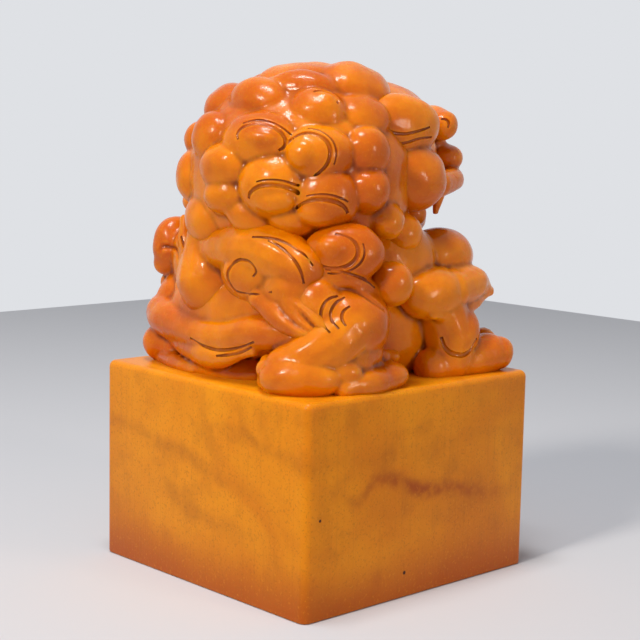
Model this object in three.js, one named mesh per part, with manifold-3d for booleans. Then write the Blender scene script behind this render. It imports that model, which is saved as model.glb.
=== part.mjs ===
// A square stone seal with a crouching guardian lion carved as its grip.
// Millimetres, +Z up. The origin is the middle of the seal face, on which the stone stands.
// The lion looks along -Y. Its right side is -X and its tail is at +Y.
//
// The real thing is one carved stone. It is cut here into its carved members, each a solid of
// its own, parted from its neighbours by PARTING, so that each can be named and studied.
// Members are carved in order: each one is whole where the later ones are cut back round it.

import * as THREE from 'three';
import { RoundedBoxGeometry } from 'three/addons/geometries/RoundedBoxGeometry.js';
import { mergeVertices } from 'three/addons/utils/BufferGeometryUtils.js';
import Module from 'manifold-3d';

const wasm = await Module();
wasm.setup();

// Driving dimensions of the block
const BLOCK_SIDE = 35;
const BLOCK_HEIGHT = 23.2;
const CORNER_RADIUS = 1.0;
const TOP_EASE = 1.1;
const FACE_EASE = 0.3;
const PARTING = 0.3;

// The stone of the head under the curls, and the egg that the curls are placed on. Both have
// their middle this high over the block's top, and this far back from the block's middle.
const HEAD_RISE = 21.8;
const STONE_BACK = 3.0;
const STONE_HALF_WIDTH = 13.0;
const STONE_HALF_LENGTH = 12.2;
const STONE_HALF_HEIGHT = 12.2;
const EGG_BACK = 0.9;
const EGG_HALF_WIDTH = 13.0;
const EGG_HALF_LENGTH = 13.8;
const EGG_HALF_HEIGHT = 11.8;

// Where the mane parts, as lifts in degrees over the egg's equator
const CROWN_TOP = 90;
const CROWN_FROM = 32;
const RUFF_FROM = -23;
const NAPE_FROM = -64;

// How far a curl stands out of the egg, and how much of a bead stands out of its curl
const CURL_DEPTH = 2.4;
const BEAD_SUNK = 0.75;

// How finely curved forms are cut: a limb's steps are this long, and a form has so many facets
// round it, one more for each RADIUS_PER_FACET of its radius. The head's stone has more, so
// that every curl on the egg is rooted in it.
const LIMB_STEP = 6.0;
const FEWEST_AROUND = 6;
const RADIUS_PER_FACET = 2.9;
const MOST_AROUND = 12;
const HEAD_STONE_AROUND = 20;
const RINGS_PER_FACET_AROUND = 0.5;
const SAME_POINT = 1e-4;
const EASE_STEPS = 3;
const CAP_ANGLE = Math.PI / 3;
const HEEL_EASE = 0.9;

// Colours of the stone: the block's faces, the lion, and the mane rows that stand lit
const BLOCK_OCHRE = 0xcc8522;
const LION_ORANGE = 0xd9750c;
const MANE_ORANGE = 0xe07f12;

// Each curl has a bearing, 0 at the rear and 90 on the lion's right, a lift, and half sizes.
// deep is how far it stands out, where that differs from CURL_DEPTH. roll turns it as it lies.
// A snail curl has a bead: its place across and up the curl, and its two half sizes.
const CROWN_CURLS = [
  { bearing: 24, lift: 74, wide: 5.0, tall: 3.4, deep: 2.0, roll: 12 },
  { bearing: 90, lift: 62, wide: 4.4, tall: 3.9 },
  { bearing: 36, lift: 57, wide: 4.2, tall: 2.3, deep: 2.0 },
  { bearing: 6, lift: 47, wide: 4.0, tall: 2.7, roll: -6 },
  { bearing: -37, lift: 42, wide: 3.4, tall: 3.0 },
  { bearing: 50, lift: 40, wide: 3.2, tall: 2.6, deep: 2.2, roll: -20 },
  { bearing: 78, lift: 38, wide: 3.2, tall: 2.8, deep: 1.5 },
  { bearing: 180, lift: 70, wide: 4.4, tall: 3.4, deep: 1.8 },
  { bearing: -84, lift: 58, wide: 4.4, tall: 3.4, deep: 1.8 },
  { bearing: -72, lift: 38, wide: 3.4, tall: 2.8, deep: 2.2 },
];
const RUFF_CURLS = [
  { bearing: -42, lift: 20, wide: 2.2, tall: 2.2 },
  { bearing: -15, lift: 23, wide: 3.0, tall: 2.9 },
  { bearing: 20, lift: 22, wide: 4.3, tall: 3.1, bead: [0.9, -0.6, 2.2, 1.2] },
  { bearing: 50, lift: 15, wide: 3.9, tall: 3.0, bead: [-1.5, -0.3, 2.0, 1.8] },
  { bearing: 74, lift: 17, wide: 2.7, tall: 2.7 },
  { bearing: 74, lift: -3, wide: 2.5, tall: 2.6 },
  { bearing: 86, lift: -20, wide: 2.2, tall: 2.1 },
  { bearing: 104, lift: -28, wide: 2.3, tall: 2.2 },
  { bearing: 54, lift: -8, wide: 3.6, tall: 3.4, deep: 2.6, bead: [-0.9, -1.3, 2.3, 1.5] },
  { bearing: 29, lift: -2, wide: 3.6, tall: 3.6, deep: 2.6, bead: [0.6, -1.4, 2.4, 1.5] },
  { bearing: 3, lift: 7, wide: 3.4, tall: 2.6, roll: 8 },
  { bearing: -36, lift: 0, wide: 2.8, tall: 3.1 },
  { bearing: 4, lift: -8, wide: 2.8, tall: 2.2 },
  { bearing: -63, lift: 15, wide: 3.2, tall: 3.0, bead: [0.9, -0.3, 1.8, 1.6] },
  { bearing: -86, lift: 15, wide: 2.8, tall: 2.7 },
  { bearing: -60, lift: -8, wide: 3.4, tall: 3.3, bead: [0.9, -1.2, 2.2, 1.4] },
  { bearing: -83, lift: -6, wide: 2.7, tall: 2.7 },
];
const NAPE_CURLS = [
  { bearing: -23, lift: -25, wide: 4.0, tall: 3.5, deep: 2.7 },
  { bearing: 15, lift: -18, wide: 2.5, tall: 2.0, deep: 2.2, roll: -30 },
  { bearing: 38, lift: -18, wide: 2.3, tall: 2.0, deep: 2.2, roll: -15 },
  { bearing: -50, lift: -29, wide: 3.3, tall: 2.9 },
  { bearing: -72, lift: -27, wide: 2.5, tall: 2.4 },
];

const { degToRad } = THREE.MathUtils;

// Solid from a closed three.js geometry
function solidOf(geometry) {
  geometry.deleteAttribute('normal');
  geometry.deleteAttribute('uv');
  const merged = mergeVertices(geometry, SAME_POINT);
  return new wasm.Manifold(new wasm.Mesh({
    numProp: 3,
    vertProperties: merged.attributes.position.array,
    triVerts: new Uint32Array(merged.index.array),
  }));
}

// Geometry for a mesh from a solid
function geometryOf(solid) {
  const { numProp, vertProperties, triVerts } = solid.getMesh();
  const positions = new Float32Array((vertProperties.length / numProp) * 3);
  for (let i = 0; i < positions.length / 3; i += 1) {
    for (let axis = 0; axis < 3; axis += 1) {
      positions[i * 3 + axis] = vertProperties[i * numProp + axis];
    }
  }
  const geometry = new THREE.BufferGeometry();
  geometry.setAttribute('position', new THREE.BufferAttribute(positions, 3));
  geometry.setIndex(new THREE.BufferAttribute(new Uint32Array(triVerts), 1));
  geometry.computeVertexNormals();
  return geometry;
}

function join(solids) {
  return solids.reduce((whole, one) => whole.add(one));
}

// Square with round corners, as wide as side, its corners rounded by radius
function roundedSquare(side, radius) {
  const straight = side / 2 - radius;
  const outline = new THREE.Shape();
  const corners = [[1, 1], [-1, 1], [-1, -1], [1, -1]];
  corners.forEach(([alongX, alongY], quarter) => {
    const from = quarter * (Math.PI / 2);
    outline.absarc(alongX * straight, alongY * straight, radius, from, from + Math.PI / 2);
  });
  return outline;
}

// The block: the square column lofted through its rounded square at each height, drawn in
// a little at the seal face and along a quarter circle at the top edge
function sealBlock() {
  const levels = [[0, FACE_EASE], [FACE_EASE, 0]];
  for (let step = 0; step <= EASE_STEPS; step += 1) {
    const angle = (step / EASE_STEPS) * (Math.PI / 2);
    levels.push([
      BLOCK_HEIGHT - TOP_EASE * (1 - Math.sin(angle)), TOP_EASE * (1 - Math.cos(angle)),
    ]);
  }
  const rings = levels.map(([z, drawnIn]) => (
    roundedSquare(BLOCK_SIDE - 2 * drawnIn, CORNER_RADIUS)
      .getPoints(EASE_STEPS)
      .filter((point, i, all) => i === 0 || point.distanceTo(all[i - 1]) > SAME_POINT)
      .map((point) => [point.x, point.y, z])
  ));
  return solidOf(loftGeometry(rings));
}

// The rough column that the lion is carved from, standing on the block's top
function lionBlank() {
  const tall = HEAD_RISE + STONE_HALF_HEIGHT + 2 * CURL_DEPTH;
  return solidOf(new THREE.ExtrudeGeometry(
    roundedSquare(BLOCK_SIDE, CORNER_RADIUS),
    { depth: tall, steps: 1, curveSegments: EASE_STEPS, bevelEnabled: false },
  ).translate(0, 0, BLOCK_HEIGHT));
}

// How many facets go round a form of this radius
function facetsAround(radius) {
  return Math.min(MOST_AROUND, FEWEST_AROUND + Math.round(radius / RADIUS_PER_FACET));
}

// A unit ball with so many facets round it and its poles up and down
function unitBall(around) {
  const rings = Math.ceil(around * RINGS_PER_FACET_AROUND);
  return new THREE.SphereGeometry(1, around, rings).rotateX(Math.PI / 2);
}

// A rounded knob with its half sizes, turned round the upright and leaned, in degrees.
// Here and in a limb, heights are given from the block's top.
function knob(x, y, z, rx, ry, rz, turn = 0, lean = 0) {
  return (grow) => solidOf(
    unitBall(facetsAround(Math.max(rx, ry, rz)))
      .scale(rx + grow, ry + grow, rz + grow)
      .rotateX(degToRad(lean))
      .rotateZ(degToRad(turn))
      .translate(x, y, BLOCK_HEIGHT + z),
  );
}

// A lump with flat faces and eased edges, where a knife cut the stone off
function facet(x, y, z, wide, long, tall, turn, lean, tilt) {
  return (grow) => solidOf(
    new RoundedBoxGeometry(wide + 2 * grow, long + 2 * grow, tall + 2 * grow, 1, HEEL_EASE)
      .rotateX(degToRad(lean))
      .rotateY(degToRad(tilt))
      .rotateZ(degToRad(turn))
      .translate(x, y, BLOCK_HEIGHT + z),
  );
}

// A limb swept along a smooth curve, each station giving x, y, z and its own radius
function limb(...stations) {
  const path = new THREE.CatmullRomCurve3(
    stations.map(([x, y, z]) => new THREE.Vector3(x, y, BLOCK_HEIGHT + z)),
    false,
    'centripetal',
  );
  const radii = new THREE.CatmullRomCurve3(
    stations.map(([, , , radius], i) => new THREE.Vector3(i, radius, 0)),
    false,
    'centripetal',
  );
  const sides = facetsAround(Math.max(...stations.map(([, , , radius]) => radius)));
  const steps = Math.max(stations.length - 1, Math.round(path.getLength() / LIMB_STEP));
  return sweep(path, sides, steps, (t) => radii.getPoint(t).y);
}

// A solid swept along a path: a ring at each step, and a round cap past both ends
function sweep(path, sides, steps, radiusAt) {
  const frames = path.computeFrenetFrames(steps, false);
  const ring = (step, radius, beyond) => {
    const centre = path.getPoint(step / steps).addScaledVector(frames.tangents[step], beyond);
    return Array.from({ length: sides }, (_, side) => {
      const angle = (side / sides) * Math.PI * 2;
      return centre.clone()
        .addScaledVector(frames.normals[step], Math.cos(angle) * radius)
        .addScaledVector(frames.binormals[step], Math.sin(angle) * radius)
        .toArray();
    });
  };
  return (grow) => {
    const radiusOf = (step) => radiusAt(step / steps) + grow;
    // A cap's ring lies on the quarter circle past the path's end
    const capRing = (step, angle, way) => ring(
      step, radiusOf(step) * Math.cos(angle), way * radiusOf(step) * Math.sin(angle),
    );
    const body = Array.from({ length: steps + 1 }, (_, step) => ring(step, radiusOf(step), 0));
    return solidOf(loftGeometry([
      capRing(0, CAP_ANGLE, -1),
      ...body,
      capRing(steps, CAP_ANGLE, 1),
    ]));
  };
}

// The closed skin through rings of points, each ring closed by a fan at the two ends
function loftGeometry(rings) {
  const count = rings[0].length;
  const faces = [];
  for (let level = 0; level < rings.length - 1; level += 1) {
    for (let side = 0; side < count; side += 1) {
      const next = (side + 1) % count;
      const [a, b] = [level * count + side, level * count + next];
      const [c, d] = [a + count, b + count];
      faces.push(a, b, d, a, d, c);
    }
  }
  const top = (rings.length - 1) * count;
  for (let side = 1; side < count - 1; side += 1) {
    faces.push(0, side + 1, side);
    faces.push(top, top + side, top + side + 1);
  }
  const geometry = new THREE.BufferGeometry();
  geometry.setAttribute('position', new THREE.Float32BufferAttribute(rings.flat(2), 3));
  geometry.setIndex(faces);
  return geometry;
}

// A curl: a low dome facing outward, and on a snail curl the bead at its heart
function curlAt(centre, outward, { wide, tall, deep = CURL_DEPTH, roll = 0, bead }) {
  const across = new THREE.Vector3(0, 0, 1).cross(outward).normalize();
  const rising = outward.clone().cross(across);
  const placed = new THREE.Matrix4().makeBasis(across, rising, outward).setPosition(centre)
    .multiply(new THREE.Matrix4().makeRotationZ(degToRad(roll)));
  const dome = (halves, [along, over, out]) => (grow) => solidOf(
    unitBall(facetsAround(Math.max(...halves)))
      .scale(...halves.map((half) => half + grow))
      .translate(along, over, out)
      .applyMatrix4(placed),
  );
  const domes = [dome([wide, tall, deep], [0, 0, 0])];
  if (bead) {
    const [along, over, beadWide, beadTall] = bead;
    const skin = deep * Math.sqrt(1 - (along / wide) ** 2 - (over / tall) ** 2);
    domes.push(dome([beadWide, beadTall, beadTall], [along, over, skin - BEAD_SUNK * beadTall]));
  }
  return domes;
}

// A curl on the mane's egg, at its bearing and lift
function curl({ bearing, lift, ...shape }) {
  const [around, up] = [degToRad(bearing), degToRad(lift)];
  const onUnitEgg = new THREE.Vector3(
    -Math.sin(around) * Math.cos(up), Math.cos(around) * Math.cos(up), Math.sin(up),
  );
  const radii = new THREE.Vector3(EGG_HALF_WIDTH, EGG_HALF_LENGTH, EGG_HALF_HEIGHT);
  const outward = onUnitEgg.clone().divide(radii).normalize();
  const centre = onUnitEgg.clone().multiply(radii)
    .add(new THREE.Vector3(0, EGG_BACK, BLOCK_HEIGHT + HEAD_RISE));
  return curlAt(centre, outward, shape);
}

// A slice of the head's stone between two lifts, which carries a row of curls
function maneSlice(fromLift, toLift) {
  const heightAt = (lift) => (
    BLOCK_HEIGHT + HEAD_RISE + STONE_HALF_HEIGHT * Math.sin(degToRad(lift))
  );
  const headStone = (grow) => solidOf(
    unitBall(HEAD_STONE_AROUND)
      .scale(STONE_HALF_WIDTH + grow, STONE_HALF_LENGTH + grow, STONE_HALF_HEIGHT + grow)
      .translate(0, STONE_BACK, BLOCK_HEIGHT + HEAD_RISE),
  );
  return (grow) => headStone(grow)
    .trimByPlane([0, 0, 1], heightAt(fromLift) - grow)
    .trimByPlane([0, 0, -1], -(heightAt(toLift) + grow));
}

// Members, in the order of carving. A member is cut back round all that came before it.
const stone = { roughness: 0.28, metalness: 0 };
const carving = new THREE.Group();
const carved = [];
const blank = lionBlank();

function addMesh(name, solid, colour) {
  const material = new THREE.MeshStandardMaterial({ ...stone, color: colour });
  const mesh = new THREE.Mesh(geometryOf(solid), material);
  mesh.name = name;
  carving.add(mesh);
}

function carve(name, forms, colour = LION_ORANGE) {
  let solid = join(forms.map((form) => form(0))).intersect(blank);
  for (const earlier of carved) {
    solid = solid.subtract(earlier);
  }
  carved.push(join(forms.map((form) => form(PARTING))));
  // What a neighbour cuts off as a loose sliver is dust on the carver's bench
  const bodies = solid.decompose().sort((a, b) => b.volume() - a.volume());
  addMesh(name, bodies[0], colour);
}

// A member on each side. Its forms are written with out, which is -1 on the lion's right side
// and 1 on its left.
function carvePair(name, formsOn) {
  carve(`right_${name}`, formsOn(-1));
  carve(`left_${name}`, formsOn(1));
}

// A distance in from the block's edge, as one from its middle
const fromEdge = (inset) => BLOCK_SIDE / 2 - inset;

addMesh('seal_block', sealBlock(), BLOCK_OCHRE);

// Trunk and face, the plain forms that the others stand out of: rump, belly, shoulders and
// throat, and the front of the head with its brow
carve('trunk', [
  knob(0, 5.2, 8.4, 11.8, 7.0, 8.0),
  knob(6.8, 7.6, 12.6, 7.4, 4.6, 5.6),
  knob(2.0, 10.2, 5.2, 9.4, 3.6, 4.8),
  knob(0, -2.0, 8.0, 11.2, 13.0, 9.0),
  knob(-8.6, -3.0, 12.6, 4.2, 6.2, 5.0),
  knob(8.6, -3.0, 12.6, 4.2, 6.2, 5.0),
]);
carve('face', [
  knob(0, -6.6, 24.6, 9.6, 7.6, 6.6),
  knob(0, -6.0, 28.0, 9.4, 7.4, 5.4),
  knob(0, -5.6, 18.4, 7.6, 4.0, 4.0),
]);

// Eyes under curled brows, a broad nose, an open mouth with a tongue, full cheeks
carvePair('eye', (out) => [knob(out * 4.4, -13.2, 26.2, 2.2, 2.0, 2.0)]);
carve('nose', [
  limb([0, -12.0, 28.6, 1.6], [0, -14.4, 26.2, 1.8], [0, -15.2, 24.0, 2.0]),
  knob(0, -15.0, 23.6, 3.8, 2.0, 1.8),
  knob(-5.2, -14.4, 24.2, 3.2, 2.2, 1.8),
  knob(5.2, -14.4, 24.2, 3.2, 2.2, 1.8),
]);
carvePair('brow', (out) => [
  limb([out * 1.6, -13.6, 28.6, 1.0], [out * 4.6, -13.6, 29.0, 1.4], [out * 7.4, -12.4, 28.0, 1.8]),
]);
carvePair('cheek', (out) => [knob(out * 10.3, -4.3, 22.2, 3.3, 4.2, 3.9, out * 16, 10)]);
carvePair('ear', (out) => [knob(out * 9.5, -2.4, 27.9, 2.9, 5.6, 3.6, out * 14)]);
carve('upper_jaw', [
  limb(
    [-9.8, -9.4, 21.4, 1.5], [-7.8, -14.0, 21.8, 1.4], [0, -15.2, 21.4, 1.6],
    [7.8, -14.0, 21.8, 1.4], [9.8, -9.4, 21.4, 1.5],
  ),
  limb([-7.6, -12.0, 20.6, 0.9], [-7.6, -11.4, 18.0, 0.4]),
  limb([7.6, -12.0, 20.6, 0.9], [7.6, -11.4, 18.0, 0.4]),
]);
carve('tongue', [knob(0, -11.0, 18.6, 3.4, 3.6, 1.0)]);
carve('lower_jaw', [
  limb([-6.8, -8.4, 17.8, 1.5], [0, -13.4, 16.6, 1.8], [6.8, -8.4, 17.8, 1.5]),
  knob(0, -9.4, 16.2, 5.6, 4.4, 2.0),
]);

// Mane: curls on slices of the head's stone, from the crown down over the ruff to the nape
const row = (curls) => curls.flatMap((one) => curl(one));
carve('mane_crown', [maneSlice(CROWN_FROM, CROWN_TOP), ...row(CROWN_CURLS)], MANE_ORANGE);
carve('mane_ruff', [maneSlice(RUFF_FROM, CROWN_FROM), ...row(RUFF_CURLS)]);
carve('mane_nape', [maneSlice(NAPE_FROM, RUFF_FROM), ...row(NAPE_CURLS)], MANE_ORANGE);

// Beard: three curls under the chin
carve('beard', [
  limb([0, -11.0, 14.4, 2.0], [0, -13.4, 12.2, 2.2], [0, -13.4, 9.6, 1.4]),
  limb([-2.4, -11.0, 13.8, 1.8], [-4.2, -12.8, 12.2, 1.8]),
  limb([2.4, -11.0, 13.8, 1.8], [4.2, -12.8, 12.2, 1.8]),
]);

// Tail: a scroll with its bead, a root that swells down the rump, and a plume that sweeps to
// the lion's right and ends in two pointed locks
carve('tail_scroll', [
  knob(-3.4, 12.8, 12.2, 4.4, 3.0, 3.7),
  knob(-2.7, 15.0, 12.0, 1.4, 1.1, 1.4),
]);
carve('tail_root', [
  limb(
    [5.8, 11.4, 16.6, 2.6], [5.0, 12.0, 13.6, 3.2],
    [4.2, 12.5, 10.8, 3.8], [4.0, 12.5, 10.2, 3.8],
  ),
  limb([7.2, 12.0, 16.8, 0.9], [5.6, 13.2, 15.0, 1.4], [3.6, 13.8, 13.4, 0.5]),
  limb([10.2, 11.2, 16.6, 0.8], [9.2, 11.8, 14.4, 1.1], [7.8, 12.2, 12.0, 0.9]),
]);
carve('tail_plume', [
  limb(
    [3.4, 12.6, 13.6, 2.4], [-1.6, 13.1, 14.4, 2.8],
    [-6.2, 12.6, 14.2, 3.1], [-9.6, 11.6, 12.8, 2.8],
  ),
  knob(-6.6, 12.4, 9.8, 4.4, 2.4, 3.0),
  limb(
    [-6.0, 13.9, 9.4, 1.4], [-9.6, 13.7, 7.5, 1.5],
    [-12.4, 13.0, 6.5, 1.1], [-14.7, 11.9, 5.8, 0.5],
  ),
  limb(
    [-9.0, 13.2, 11.0, 1.9], [-10.6, 13.1, 9.0, 1.3],
    [-12.6, 12.5, 7.7, 1.1], [-14.7, 11.7, 6.1, 0.5],
  ),
]);

// Hips: a big snail curl on the right, and on the left one that rolls over toward the rear
const HIP_BEARING = degToRad(52);
carve('right_hip_curl', curlAt(
  new THREE.Vector3(-12.2, 7.8, BLOCK_HEIGHT + 14.4),
  new THREE.Vector3(-Math.sin(HIP_BEARING), Math.cos(HIP_BEARING), 0),
  { wide: 4.4, tall: 3.3, deep: 2.7, bead: [-1.2, 0.6, 2.1, 1.6] },
));
carve('left_hip_curl', [
  knob(13.0, 6.4, 13.8, 2.8, 4.0, 3.3),
  knob(14.4, 9.8, 13.2, 2.4, 2.9, 3.6),
  knob(14.9, 11.0, 11.4, 1.4, 1.4, 1.5),
  knob(15.3, 9.8, 8.9, 1.2, 1.2, 1.3),
]);

// Hind feet, along the block's edges: the right one with a blunt heel and a thick sole, the left
// one a round knob
const toes = (out) => [
  knob(out * fromEdge(2.4), 3.7, 1.2, 1.9, 2.6, 1.6),
  limb([out * fromEdge(3.7), 3.4, 3.0, 0.9], [out * fromEdge(4.3), 0.8, 2.8, 0.8]),
];
carve('right_hind_foot', [
  facet(-fromEdge(7.7), fromEdge(3.3), 1.5, 4.6, 4.4, 3.8, -24, 8, -6),
  knob(-fromEdge(5.3), fromEdge(4.9), 2.2, 5.6, 2.2, 2.3, 42),
  limb(
    [-fromEdge(4.9), fromEdge(5.9), 3.2, 2.2], [-fromEdge(3.7), fromEdge(8.9), 3.4, 2.4],
    [-fromEdge(3.9), fromEdge(11.5), 3.8, 2.2],
  ),
  limb(
    [-fromEdge(2.9), fromEdge(3.9), 0.7, 1.7], [-fromEdge(1.9), fromEdge(8.1), 0.8, 1.7],
    [-fromEdge(2.1), fromEdge(12.5), 1.0, 1.7],
  ),
  knob(-fromEdge(4.7), fromEdge(9.5), 1.0, 2.8, 7.0, 2.8),
  ...toes(-1),
]);
carve('left_hind_foot', [
  limb([fromEdge(3.7), fromEdge(5.5), 2.1, 2.4], [fromEdge(6.5), fromEdge(5.1), 1.6, 1.4]),
  limb(
    [fromEdge(3.9), fromEdge(7.1), 1.8, 2.0], [fromEdge(2.5), fromEdge(10.1), 1.4, 2.1],
    [fromEdge(2.3), fromEdge(12.9), 1.2, 1.8],
  ),
  ...toes(1),
]);

// Haunches, each with its half of the sash that runs round the rump over a lower fold
const thigh = (out) => [
  knob(out * 9.0, 7.2, 6.4, 7.0, 6.0, 5.4),
  knob(out * 12.0, 7.2, 6.8, 4.8, 5.0, 4.4),
];
carve('right_haunch', [
  ...thigh(-1),
  limb([0.1, 14.5, 4.6, 1.9], [-7.0, 13.9, 5.8, 1.9], [-11.4, 12.2, 5.2, 1.7]),
  limb([-0.3, 15.0, 2.6, 1.5], [-5.8, 14.8, 3.8, 0.6]),
  limb(
    [-11.4, 11.6, 11.6, 1.6], [-13.2, 7.4, 11.4, 1.5], [-13.6, 4.4, 9.8, 1.1],
    [-13.8, 2.8, 8.2, 0.5],
  ),
]);
carve('left_haunch', [
  ...thigh(1),
  knob(12.6, 9.0, 6.4, 3.6, 4.2, 4.4),
  limb(
    [16.0, 10.0, 6.2, 1.2], [13.4, 12.2, 5.6, 2.2],
    [7.4, 13.7, 4.9, 2.2], [0.1, 14.5, 4.6, 1.9],
  ),
  limb([11.0, 12.4, 3.6, 1.3], [5.6, 14.0, 2.9, 1.6], [-0.3, 15.0, 2.6, 1.5]),
  limb([10.2, 12.2, 9.2, 0.7], [8.9, 12.9, 7.2, 0.9], [7.9, 13.4, 5.2, 0.6]),
]);

// Forelegs: a paw at the block's front corner, the leg, an elbow knob, and on the forearm a
// curved lens that runs forward into a pointed knob
carvePair('fore_paw', (out) => [
  limb(
    [out * fromEdge(4.7), -fromEdge(11.5), 0.8, 2.2],
    [out * fromEdge(4.1), -fromEdge(7.5), 1.2, 2.4],
    [out * fromEdge(3.3), -fromEdge(3.9), 1.9, 2.4],
  ),
  knob(out * fromEdge(2.7), -fromEdge(2.6), 1.9, 1.9, 1.7, 2.0),
  knob(out * fromEdge(5.1), -fromEdge(2.3), 2.6, 1.7, 1.5, 2.0),
]);
carvePair('foreleg', (out) => [
  limb([out * 11.8, -7.4, 8.0, 3.2], [out * 12.8, -8.4, 4.4, 3.1], [out * 12.8, -8.4, 1.6, 3.0]),
  knob(out * 13.4, -9.5, 4.8, 2.6, 2.4, 3.0),
]);
carvePair('elbow_curl', (out) => [knob(out * 14.0, 2.4, 11.0, 2.5, 2.5, 2.5)]);
carvePair('forearm_fringe', (out) => [
  knob(out * 12.7, -5.8, 9.3, 2.8, 4.8, 3.0),
  limb([out * 12.9, -8.5, 9.6, 2.5], [out * 12.5, -12.6, 10.0, 2.1], [out * 12.6, -15.6, 8.9, 0.7]),
  limb(
    [out * 12.4, -15.8, 8.8, 0.5], [out * 13.6, -11.4, 7.6, 0.7],
    [out * 14.2, -7.6, 6.9, 0.8], [out * 14.2, -4.2, 7.3, 0.7],
  ),
]);
carvePair('chest_lobe', (out) => [knob(out * 9.8, -9.8, 13.2, 3.5, 4.6, 3.2)]);

let triangles = 0;
carving.traverse((one) => {
  triangles += one.isMesh ? one.geometry.index.count / 3 : 0;
});
console.log(`${carving.children.length} members, ${triangles} triangles`);

export default carving;
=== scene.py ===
# %% [markdown]
# # A square stone seal with a lion grip
#
# The real thing is one piece of honey-coloured soapstone. A carver sawed and sanded the lower
# part square, cut the upper part into a crouching guardian lion, and waxed it until it shone.
#
# This lesson starts from the plain solids of the CAD frame and dresses them: each part of the
# lion is modelled again from rounded forms, fused like soft clay, cut with a graver along its
# curls and folds, and polished. Sizes are in millimetres and are turned to metres in one place.

# %% Load the frame
import math

import bpy
from mathutils import Matrix, Vector


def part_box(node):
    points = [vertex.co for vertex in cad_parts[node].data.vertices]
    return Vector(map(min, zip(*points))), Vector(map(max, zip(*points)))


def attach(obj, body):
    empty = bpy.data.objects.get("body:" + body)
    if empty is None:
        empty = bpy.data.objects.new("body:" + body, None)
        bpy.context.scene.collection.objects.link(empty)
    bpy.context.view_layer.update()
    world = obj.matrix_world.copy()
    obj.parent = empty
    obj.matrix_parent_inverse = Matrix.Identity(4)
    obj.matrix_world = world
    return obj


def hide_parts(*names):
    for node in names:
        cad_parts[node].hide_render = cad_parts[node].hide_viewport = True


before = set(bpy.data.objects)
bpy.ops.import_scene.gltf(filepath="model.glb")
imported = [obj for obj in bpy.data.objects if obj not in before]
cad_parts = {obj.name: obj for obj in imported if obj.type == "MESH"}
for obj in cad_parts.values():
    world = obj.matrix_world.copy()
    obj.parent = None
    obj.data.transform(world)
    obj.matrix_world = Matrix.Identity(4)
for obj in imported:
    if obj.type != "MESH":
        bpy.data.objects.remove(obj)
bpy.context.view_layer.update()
MM = 0.001
BLOCK_LOW, BLOCK_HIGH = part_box("seal_block")
HALF_SIDE = BLOCK_HIGH.x / MM
BLOCK_TOP = BLOCK_HIGH.z / MM
print(f"block {2 * HALF_SIDE:.1f} mm square, {BLOCK_TOP:.1f} mm high")

# %% [markdown]
# ## The camera
#
# The photograph was taken a little above the seal, looking at its right rear corner. The four
# corners of the block that it shows fix the camera: how far round it stands, how high, how far
# away and how long its lens is. The camera is made first, so that each later step can be seen
# as the photograph sees it.

# %% Camera
CAMERA_AZIMUTH = 226.8
CAMERA_ELEVATION = 7.8
CAMERA_ROLL = 1.15
CAMERA_DISTANCE = 176.5
AIM_HEIGHT = 28.48
AIM_ASIDE = 0.256
FOCAL_PIXELS = 1514.5
PHOTO_PIXELS = 640
SENSOR = 36.0

azimuth, elevation, roll = (
    math.radians(angle) for angle in (CAMERA_AZIMUTH, CAMERA_ELEVATION, CAMERA_ROLL)
)
to_camera = Vector((
    math.sin(azimuth) * math.cos(elevation),
    -math.cos(azimuth) * math.cos(elevation),
    math.sin(elevation),
))
level_right = Vector((math.cos(azimuth), math.sin(azimuth), 0))
level_up = to_camera.cross(level_right)
view_right = level_right * math.cos(roll) + level_up * math.sin(roll)
view_up = level_up * math.cos(roll) - level_right * math.sin(roll)
aim = level_right * AIM_ASIDE + Vector((0, 0, AIM_HEIGHT))

camera_data = bpy.data.cameras.new("camera")
camera_data.sensor_width = SENSOR
camera_data.lens = FOCAL_PIXELS / PHOTO_PIXELS * SENSOR
camera_data.clip_start = 0.01
camera = bpy.data.objects.new("camera", camera_data)
camera.matrix_world = Matrix.Translation((aim + to_camera * CAMERA_DISTANCE) * MM) @ Matrix(
    (view_right, view_up, to_camera)
).transposed().to_4x4()
bpy.context.scene.collection.objects.link(camera)
bpy.context.scene.camera = camera
bpy.context.scene.view_settings.view_transform = "Standard"
print(f"camera lens {camera_data.lens:.1f} mm")

# %% [markdown]
# ## Hands and tools
#
# A carver has only a few tools, and this lesson too. A ball is a rounded lump of stone. A limb
# is a lump drawn out along a path, thick and thin where its stations say. A groove is the cut
# of a graver. Lumps are fused by a voxel remesh, which melts overlapping forms into one skin,
# and the grooves are taken out with a boolean cut: wide ones before the skin is polished, so
# their edges wear round, and fine ones after it, so they stay crisp. That is how a sculptor works
# in soft clay, and it leaves the same rounded valleys as the photograph shows.

# %% Selecting and placing
# A voxel is the size, in millimetres, of the finest form that a fused skin keeps. A ball's detail
# is how often its triangles are halved.
VOXEL = 0.2
BALL_DETAIL = 4


def only(*pieces):
    """Selects these pieces and nothing else, and makes the first one active."""
    bpy.ops.object.select_all(action="DESELECT")
    for piece in pieces:
        piece.select_set(True)
    bpy.context.view_layer.objects.active = pieces[0]


def at(x, y, z):
    """A place on the lion in metres, from millimetres over the block's top."""
    return Vector((x, y, z + BLOCK_TOP)) * MM


def settle(piece):
    """Puts a piece's place, turn and size into its mesh."""
    only(piece)
    bpy.ops.object.transform_apply(location=True, rotation=True, scale=True)
    return piece


def apply(piece, kind, **settings):
    """Adds a modifier to a piece, sets it and applies it."""
    only(piece)
    bpy.ops.object.modifier_add(type=kind)
    modifier = piece.modifiers[-1]
    for name, value in settings.items():
        setattr(modifier, name, value)
    bpy.ops.object.modifier_apply(modifier=modifier.name)
    return piece


# %% Lumps
# How far a knife-cut edge is eased, and the steps of a drawn bar from one station to the next.
KNIFE_EASE = 0.9
STEPS_PER_STATION = 10


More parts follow.
